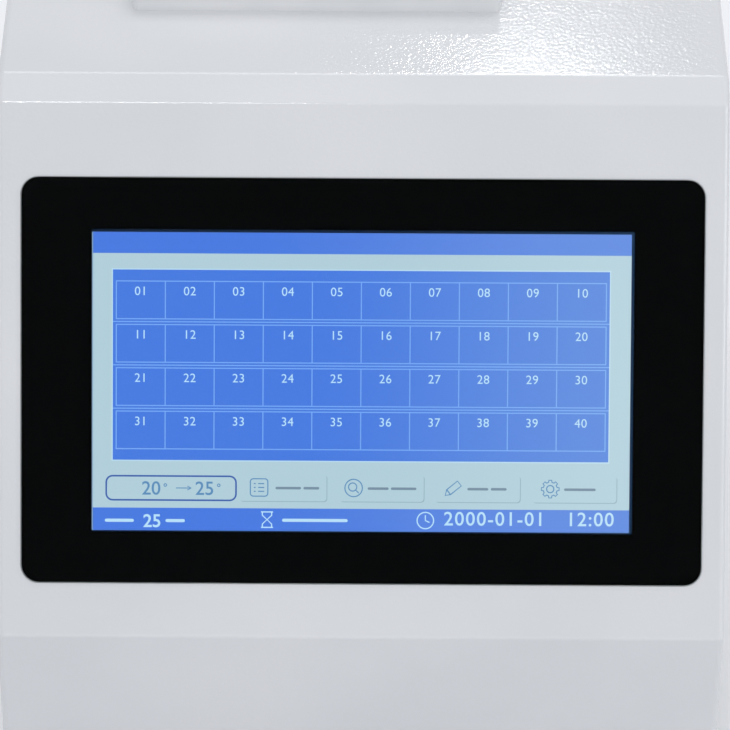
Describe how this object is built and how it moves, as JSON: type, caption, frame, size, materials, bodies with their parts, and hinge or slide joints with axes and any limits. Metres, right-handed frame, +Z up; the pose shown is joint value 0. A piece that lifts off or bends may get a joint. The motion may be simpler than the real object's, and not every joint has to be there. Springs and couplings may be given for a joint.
{
  "type": "sedimentation rate analyzer",
  "caption": "Desktop blood sedimentation rate analyzer with a leaning display face, a raised rack of tube wells and a strip printer.",
  "frame": {"origin": "under the middle of the whole instrument, on the surface its feet stand on", "axes": "+Z up, the display faces -Y, +X to the right of a user in front"},
  "size_m": [0.3, 0.324, 0.2763],
  "materials": {
    "casing_paint": "orange-peel powder coat",
    "panel_steel": "satin powder coat",
    "bracket_steel": "zinc plated",
    "foot_rubber": "moulded",
    "cover_glass": "polished, black printed border",
    "screen": "lit screen",
    "board": "solder mask",
    "rack_plastic": "fine moulded grain",
    "bar_plastic": "satin moulded",
    "lift_alloy": "clear anodised",
    "rod_steel": "ground",
    "brass": "turned",
    "black_plastic": "moulded",
    "printer_plastic": "fine moulded grain",
    "platen_rubber": "ground",
    "paper": "thermal paper",
    "button_blue": "moulded"
  },
  "bodies": {
    "root": {"housing_shell": "casing_paint", "base_plate": "panel_steel", "rear_panel": "panel_steel", "base_screws": "bracket_steel", "rear_screws": "bracket_steel", "rubber_feet": "foot_rubber", "foot_screws": "bracket_steel", "cover_glass": "cover_glass", "display_bracket": "bracket_steel", "lcd_module": "screen", "display_standoffs": "brass", "display_board": "board", "rack_surround": "rack_plastic", "well_bar_1": "bar_plastic", "well_bar_2": "bar_plastic", "well_bar_3": "bar_plastic", "well_bar_4": "bar_plastic", "tube_rest_plate": "lift_alloy", "frame_posts": "lift_alloy", "guide_rod_left": "rod_steel", "guide_rod_right": "rod_steel", "top_block": "lift_alloy", "screw_bearing": "rod_steel", "stepper_motor": "lift_alloy", "home_sensor": "black_plastic", "board_standoffs": "brass", "main_board": "board", "power_supply": "lift_alloy", "inlet_socket": "black_plastic", "switch_frame": "black_plastic", "fan_frame": "black_plastic", "network_port": "black_plastic", "usb_port": "black_plastic", "serial_port": "black_plastic", "room_sensor": "black_plastic", "printer_housing": "printer_plastic", "door_pin": "rod_steel", "print_head": "black_plastic", "paper_roll": "paper"},
    "carriage": {"carriage_plate": "lift_alloy", "guide_bushes": "rod_steel", "emitter_boards": "board", "detector_boards": "board", "lead_nut": "brass", "home_flag": "rod_steel"},
    "screw": {"lead_screw": "rod_steel"},
    "door": {"printer_door": "printer_plastic"},
    "platen": {"platen_roller": "platen_rubber"},
    "button": {"feed_button": "button_blue"},
    "rocker": {"power_rocker": "black_plastic"},
    "fan": {"fan_rotor": "black_plastic"}
  },
  "joints": [
    {"name": "carriage_lift", "type": "slide", "parent": "root", "child": "carriage", "axis": [0, 0, 1], "range_m": [0, 0.045]},
    {"name": "screw_spin", "type": "hinge", "parent": "root", "child": "screw", "pos_m": [-0.02, 0.13201, 0.16227], "axis": [0, 0, 1], "range_deg": [-2025.5, 0]},
    {"name": "printer_door", "type": "hinge", "parent": "root", "child": "door", "pos_m": [0.104, 0.13801, 0.26827], "axis": [-1, 0, 0], "range_deg": [0, 95]},
    {"name": "platen_spin", "type": "hinge", "parent": "door", "child": "platen", "pos_m": [0.104, 0.07622, 0.25827], "axis": [1, 0, 0], "continuous": true},
    {"name": "feed_button", "type": "slide", "parent": "root", "child": "button", "axis": [0, 0, -1], "range_m": [0, 0.001], "stiffness_N_per_m": 600, "springref_m": -0.0005},
    {"name": "power_rocker", "type": "hinge", "parent": "root", "child": "rocker", "pos_m": [0.022, 0.15701, 0.0755], "axis": [-1, 0, 0], "range_deg": [0, 16]},
    {"name": "fan_spin", "type": "hinge", "parent": "root", "child": "fan", "pos_m": [0.099, 0.15052, 0.1355], "axis": [0, 1, 0], "continuous": true}
  ],
  "couplings": [
    {"joint": "screw_spin", "follows": "carriage_lift", "rad_per_m": -785.4}
  ]
}
